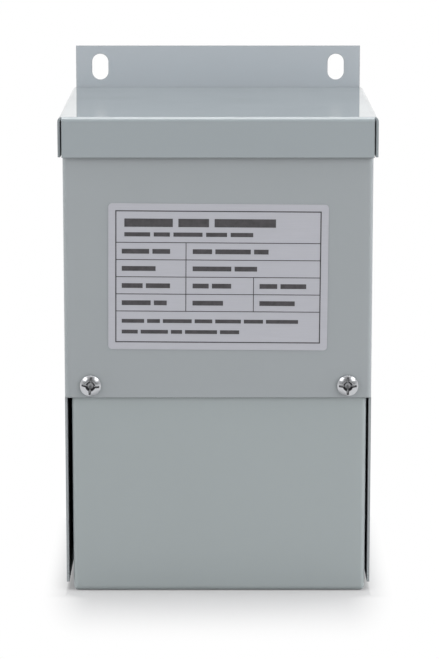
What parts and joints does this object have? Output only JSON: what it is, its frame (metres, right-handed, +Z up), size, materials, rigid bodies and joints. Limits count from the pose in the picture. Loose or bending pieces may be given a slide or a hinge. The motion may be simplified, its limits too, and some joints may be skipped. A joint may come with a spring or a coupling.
{
  "type": "buck boost transformer",
  "caption": "Small wall-mount dry-type buck boost transformer in a folded grey sheet-steel case, with a slotted hanging bracket, an overlapping top cap and a screwed wiring compartment cover.",
  "frame": {"origin": "centre of the bounding box in plan, on the floor under the wiring compartment cover", "axes": "+Z up, -Y towards the front with the nameplate, +X to the right as seen from the front"},
  "size_m": [0.0988, 0.0939, 0.165],
  "materials": {
    "paint": "semi-gloss grey enamel with a fine orange peel",
    "resin": "dark cast potting compound",
    "film": "matte silver label film",
    "zinc": "bright zinc plate"
  },
  "bodies": {
    "root": {"case_wrap": "paint", "back_plate": "paint", "top_cap": "paint", "wiring_cover": "paint", "potted_core": "resin", "nameplate": "film", "left_cover_screw": "zinc", "right_cover_screw": "zinc", "left_knockout": "paint", "right_knockout": "paint"}
  },
  "joints": []
}
